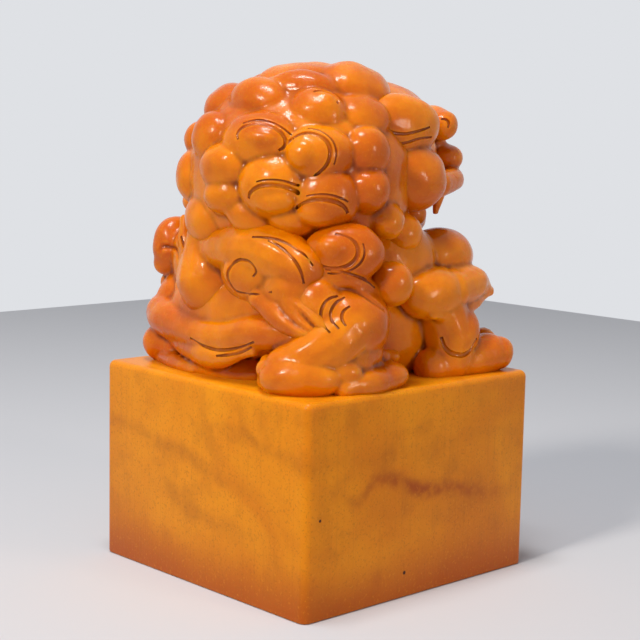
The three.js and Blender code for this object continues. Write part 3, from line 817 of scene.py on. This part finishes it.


# %% Carved stone: colour
# Soapstone, carved and waxed by hand. To the eye it is warm and uneven, never one flat orange.
# Painted shade makes it redder where it is cut deep, and painted light makes it paler on its
# ridges.
CLOUD_SIZE = 9.0
MOTTLE_SIZE = 1.6
GRAIN_SIZE = 0.3
# The dirt tool leaves level stone at 0.505. Deep creases lie below 0.46 and take painted shade,
# sharp ridges lie above 0.53 and take painted light.
CREASE_DARK, CREASE_ENDS, RIDGE_STARTS, RIDGE_BRIGHT = 0.460, 0.500, 0.507, 0.530

lion_stone, tree, shader = material("waxed amber stone, carved")
place = add(tree, "TexCoord", output="Object")
clouds = add(tree, "TexNoise", place, per_mm(CLOUD_SIZE), 3.0)
warm = add(tree, "Mix", add(tree, "MapRange", clouds, 0.35, 0.65, **SMOOTHLY),
           linear("#CC6200"), linear("#E88600"), **COLOURS)
mottles = add(tree, "TexNoise", place, per_mm(MOTTLE_SIZE), 3.0)
mottled = add(tree, "Mix", add(tree, "MapRange", mottles, 0.40, 0.75, 0.0, 0.22, **SMOOTHLY),
              warm, linear("#B44800"), **COLOURS)
grains = add(tree, "TexNoise", place, per_mm(GRAIN_SIZE), 3.0)
grained = add(tree, "Mix", add(tree, "MapRange", grains, 0.55, 0.80, 0.0, 0.30, **SMOOTHLY),
              mottled, linear("#F29A0C"), **COLOURS)
# Painted shade: the creases are mixed toward dark red #702000.
valleys = add(tree, "VertexColor", layer_name="valleys")
unshaded = add(tree, "MapRange", valleys, CREASE_DARK, CREASE_ENDS, 0.20, 1.0, **SMOOTHLY)
crease_shaded = add(tree, "Mix", unshaded, linear("#702000"), grained, **COLOURS)
# Painted light: the ridges are mixed toward pale orange #F59A12.
ridges = add(tree, "MapRange", valleys, RIDGE_STARTS, RIDGE_BRIGHT, **SMOOTHLY)
rubbed = add(tree, "Mix", add(tree, "MapRange", ridges, 0.0, 1.0, 0.0, 0.30, **SMOOTHLY),
             crease_shaded, linear("#F59A12"), **COLOURS)
tree.links.new(rubbed, shader.inputs["Base Color"])
print(f"{lion_stone.name}: {len(tree.nodes)} nodes")

# %% Carved stone: wax and relief
SHINE_SIZE = 2.2
RIPPLE_SIZE, RIPPLE_HIGH = 1.3, 0.12
PORE_SIZE, PORE_DEEP = 0.35, 0.05
shine = add(tree, "TexNoise", place, per_mm(SHINE_SIZE), 3.0)
tree.links.new(add(tree, "MapRange", shine, 0.3, 0.7, 0.18, 0.34, **SMOOTHLY),
               shader.inputs["Roughness"])
ripples = add(tree, "TexNoise", place, per_mm(RIPPLE_SIZE), 1.0)
uneven = add(tree, "Bump", 0.5, RIPPLE_HIGH * MM, None, ripples)
pores = add(tree, "TexNoise", place, per_mm(PORE_SIZE), 2.0)
tree.links.new(add(tree, "Bump", 0.5, PORE_DEEP * MM, None, pores, uneven),
               shader.inputs["Normal"])
shader.inputs["Subsurface Weight"].default_value = 0.45
shader.inputs["Subsurface Radius"].default_value = (1.0, 0.30, 0.05)
shader.inputs["Subsurface Scale"].default_value = 1.0 * MM
shader.inputs["Specular IOR Level"].default_value = 0.15
shader.inputs["Coat Weight"].default_value = 0.20
shader.inputs["Coat Roughness"].default_value = 0.06
for piece in LION:
    piece.data.materials.clear()
    piece.data.materials.append(lion_stone)
print(f"{lion_stone.name}: on {len(LION)} pieces")

# %% [markdown]
# ## The rubbed stone
#
# The block is the same stone, but its faces were sanded flat and waxed only lightly, so they are
# duller and show what lies in the stone: ochre clouds, dark layers that fall to the right and one
# reddish vein. Towards its foot it is redder. A layer or vein is a band about a height, so a
# helper gives 1 at a middle value and falls to 0 on both sides of it.

# %% Bands
def near(tree, value, middle, half_wide):
    """1 where a value is at its middle, falling smoothly to 0 this far from it."""
    apart = add(tree, "Math", value, middle, operation="SUBTRACT")
    apart = add(tree, "Math", apart, operation="ABSOLUTE")
    return add(tree, "MapRange", apart, 0.0, half_wide, 1.0, 0.0, **SMOOTHLY)


def times(tree, *shares):
    """All these shares of 1 multiplied."""
    product = shares[0]
    for share in shares[1:]:
        product = add(tree, "Math", product, share, operation="MULTIPLY")
    return product


# %% Rubbed stone: ground
# Soapstone, rubbed flat on a stone and waxed lightly. To the eye it is golden ochre, cloudy, darker
# away from the window and red at the foot.
OCHRE_SIZE, BROWN_SIZE = 14.0, 4.0
FOOT_HIGH = 7
block_stone, tree, shader = material("waxed amber stone, rubbed flat")
place = add(tree, "TexCoord", output="Object")
across, back, height = [add(tree, "SeparateXYZ", place, output=axis) for axis in "XYZ"]
clouds = add(tree, "TexNoise", place, per_mm(OCHRE_SIZE), 3.0, None, None, 0.6)
ochre = add(tree, "Mix", add(tree, "MapRange", clouds, 0.3, 0.7, **SMOOTHLY),
            linear("#DA7E08"), linear("#EE960C"), **COLOURS)
browns = add(tree, "TexNoise", place, per_mm(BROWN_SIZE), 5.0)
clouded = add(tree, "Mix", add(tree, "MapRange", browns, 0.50, 0.75, 0.0, 0.34, **SMOOTHLY),
              ochre, linear("#B0600C"), **COLOURS)
# Painted shade: the stone darkens toward #C67416 away from the front corner, on the side turned
# from the window.
from_corner = add(tree, "Math", across, back, operation="SUBTRACT")
turned_away = add(tree, "MapRange", from_corner, -20 * MM, 34 * MM, 0.0, 0.45, **SMOOTHLY)
shaded_away = add(tree, "Mix", turned_away, clouded, linear("#C67416"), **COLOURS)
foot = add(tree, "MapRange", height, 0.0, FOOT_HIGH * MM, 0.75, 0.0, **SMOOTHLY)
footed = add(tree, "Mix", foot, shaded_away, linear("#B0480C"), **COLOURS)
print(f"{block_stone.name}: {len(tree.nodes)} nodes for its ground")

# %% Rubbed stone: dark layers
# Each layer has its height at the block's middle, its half width, where it starts and ends
# across the left face, and how strong it is. FALL is how steeply they run down to the right.
LAYERS = [
    (13.7, 1.6, 24.0, -16.0, 0.34), (19.3, 1.4, 2.0, -22.0, 0.32), (8.4, 2.0, 12.0, -16.0, 0.22),
]
FALL = -0.16
WANDER_SIZE, WANDER_HIGH = 6.0, 0.9
BREAK_SIZE = 1.2
wander = add(tree, "MapRange", add(tree, "TexNoise", place, per_mm(WANDER_SIZE), 3.0),
             0.2, 0.8, -WANDER_HIGH * MM, WANDER_HIGH * MM, **SMOOTHLY)
broken = add(tree, "MapRange", add(tree, "TexNoise", place, per_mm(BREAK_SIZE), 3.0),
             0.35, 0.60, 0.45, 1.0, **SMOOTHLY)
level = add(tree, "Math", across, FALL, height, operation="MULTIPLY_ADD")
level = add(tree, "Math", level, wander, operation="ADD")
layered = footed
for middle, half_wide, start, end, strength in LAYERS:
    band = near(tree, level, middle * MM, half_wide * MM)
    reach = near(tree, across, (start + end) / 2 * MM, abs(start - end) / 2 * MM)
    layered = add(tree, "Mix", times(tree, band, reach, broken, strength), layered,
                  linear("#8F3F0E"), **COLOURS)
print(f"{block_stone.name}: {len(LAYERS)} dark layers")

# %% Rubbed stone: vein
# The vein's height is drawn over the way back, both as shares of the block. It lies just under
# the right face and doesn't reach the others.
VEIN = [(-17.5, 9.0), (-11.0, 9.7), (-6.1, 10.9), (0.4, 11.9), (4.8, 13.7), (7.5, 13.7),
        (10.2, 11.9), (12.9, 13.1), (17.5, 13.6)]
VEIN_HALF_WIDE = 1.5
VEIN_REACH = 19.0
way_back = add(tree, "MapRange", back, -HALF_SIDE * MM, HALF_SIDE * MM)
drawn_height = add(tree, "FloatCurve", None, way_back)
mapping = drawn_height.node.mapping
shares = [((y + HALF_SIDE) / (2 * HALF_SIDE), z / BLOCK_TOP) for y, z in VEIN]
mapping.curves[0].points[0].location = shares[0]
mapping.curves[0].points[1].location = shares[-1]
for y, z in shares[1:-1]:
    mapping.curves[0].points.new(y, z)
mapping.update()
vein_height = add(tree, "Math", drawn_height, BLOCK_TOP * MM, operation="MULTIPLY")
vein_height = add(tree, "Math", wander, 0.4, vein_height, operation="MULTIPLY_ADD")
right_skin = add(tree, "MapRange", across, -15.0 * MM, -17.0 * MM)
vein = times(
    tree, near(tree, height, vein_height, VEIN_HALF_WIDE * MM),
    near(tree, back, 0.0, VEIN_REACH * MM), right_skin, broken, 0.75,
)
veined = add(tree, "Mix", vein, layered, linear("#96300C"), **COLOURS)
print(f"{block_stone.name}: a vein of {len(VEIN)} points")

# %% Rubbed stone: sanding and specks
# Sanding left fine upright scratches. The stone has pale and dark grains and two black specks, each
# with its place back and up the right face and its radius.
SCRATCH_SIZE, SCRATCH_DEEP = 0.35, 0.04
SCRATCH_LONG = 0.03
PALE_GRAIN, DARK_GRAIN, GRAIN_HIGH = 0.3, 0.22, 0.03
SPECKS = ((15.5, 10.8, 0.22), (2.7, 2.8, 0.28))
drawn_out = add(tree, "Mapping", place, None, None, (1, 1, SCRATCH_LONG))
sanded = add(tree, "TexNoise", drawn_out, per_mm(SCRATCH_SIZE), 2.0)
brushed = add(tree, "Mix", add(tree, "MapRange", sanded, 0.50, 0.75, 0.0, 0.13, **SMOOTHLY),
              veined, linear("#A8560E"), **COLOURS)
pale = add(tree, "TexNoise", place, per_mm(PALE_GRAIN), 3.0)
speckled = add(tree, "Mix", add(tree, "MapRange", pale, 0.55, 0.80, 0.0, 0.35, **SMOOTHLY),
               brushed, linear("#F2A62C"), **COLOURS)
dark = add(tree, "TexNoise", place, per_mm(DARK_GRAIN), 3.0)
speckled = add(tree, "Mix", add(tree, "MapRange", dark, 0.30, 0.46, 0.45, 0.0, **SMOOTHLY),
               speckled, linear("#B4640E"), **COLOURS)
for speck_back, speck_height, radius in SPECKS:
    middle = Vector((-HALF_SIDE, speck_back, speck_height)) * MM
    apart = add(tree, "VectorMath", place, middle, operation="DISTANCE")
    inside = add(tree, "MapRange", apart, 0.5 * radius * MM, radius * MM, 1.0, 0.0, **SMOOTHLY)
    speckled = add(tree, "Mix", inside, speckled, linear("#3A1606"), **COLOURS)
tree.links.new(speckled, shader.inputs["Base Color"])
scratched = add(tree, "Bump", 0.35, SCRATCH_DEEP * MM, None, sanded)
pores = add(tree, "TexNoise", place, per_mm(PALE_GRAIN), 2.0)
tree.links.new(add(tree, "Bump", 0.4, GRAIN_HIGH * MM, None, pores, scratched),
               shader.inputs["Normal"])
shader.inputs["Subsurface Weight"].default_value = 0.35
shader.inputs["Subsurface Radius"].default_value = (1.0, 0.35, 0.06)
shader.inputs["Subsurface Scale"].default_value = 1.2 * MM
shader.inputs["Specular IOR Level"].default_value = 0.15
shader.inputs["Roughness"].default_value = 0.38
shader.inputs["Coat Weight"].default_value = 0.05
shader.inputs["Coat Roughness"].default_value = 0.2
block.data.materials.clear()
block.data.materials.append(block_stone)
print(f"{block_stone.name}: {len(tree.nodes)} nodes in all")

# %% [markdown]
# ## Floor, daylight and lamps
#
# The seal stands on plain pale paper. A soft window is at the upper left of the camera, a second
# sheet of light hangs over the lion, and a weak one fills the right side. The daylight
# that fills the shadows is weaker than the pale backdrop that is looked at and mirrored, so the
# picture is light all round and the stone still keeps its deep colour.

# %% Floor
# Matt white paper. It gives the eye a plain pale ground that takes a soft shadow.
PAPER_SIDE = 420
bpy.ops.mesh.primitive_plane_add(size=PAPER_SIDE * MM)
floor = bpy.context.object
floor.name = "floor"
paper, tree, shader = material("white paper floor")
shader.inputs["Base Color"].default_value = linear("#D0D2D8")
shader.inputs["Roughness"].default_value = 0.85
floor.data.materials.append(paper)
print(f"floor: {PAPER_SIDE} mm square")

# %% Daylight
DAYLIGHT = 0.30
world = bpy.data.worlds.new("studio")
bpy.context.scene.world = world
world.use_nodes = True
tree = world.node_tree
tree.nodes.remove(tree.nodes["Background"])
daylight = add(tree, "Background", linear("#D8DCE2"), DAYLIGHT)
backdrop = add(tree, "Background", linear("#DFE1E5"), 1.0)
by_camera, by_gloss, by_glass = [
    add(tree, "LightPath", output=f"Is {ray} Ray") for ray in ("Camera", "Glossy", "Transmission")
]
mirrored = add(tree, "Math", by_gloss, by_glass, operation="MAXIMUM")
looked_at = add(tree, "Math", by_camera, mirrored, operation="MAXIMUM")
tree.links.new(add(tree, "MixShader", looked_at, daylight, backdrop),
               tree.nodes["World Output"].inputs["Surface"])
print(f"daylight: {DAYLIGHT}")

# %% Lamps
LIGHTS_MEET = Vector((0, 0, 32))
UP = Vector((0, 0, 1))
toward = Vector((to_camera.x, to_camera.y, 0)).normalized()
# A lamp's place toward the camera, to its left and up, its width and height, all in millimetres,
# its power in watts and its colour.
LAMPS = {
    "window": (260, 230, 300, 70, 90, 1.10, "#FFF6EA"),
    "overhead": (40, 30, 330, 90, 60, 0.55, "#FFFFFF"),
    "right fill": (200, -260, 90, 50, 90, 0.20, "#FFEBD8"),
}
for name, (near_by, left, high, wide, tall, power, colour) in LAMPS.items():
    data = bpy.data.lights.new(name, "AREA")
    data.shape = "RECTANGLE"
    data.size, data.size_y = wide * MM, tall * MM
    data.energy = power
    data.color = linear(colour)[:3]
    lamp = bpy.data.objects.new(name, data)
    stand = toward * near_by - level_right * left + UP * high
    facing = (stand - LIGHTS_MEET).to_track_quat("Z", "Y").to_matrix().to_4x4()
    lamp.matrix_world = Matrix.Translation(stand * MM) @ facing
    bpy.context.scene.collection.objects.link(lamp)
print("lamps:", ", ".join(LAMPS))
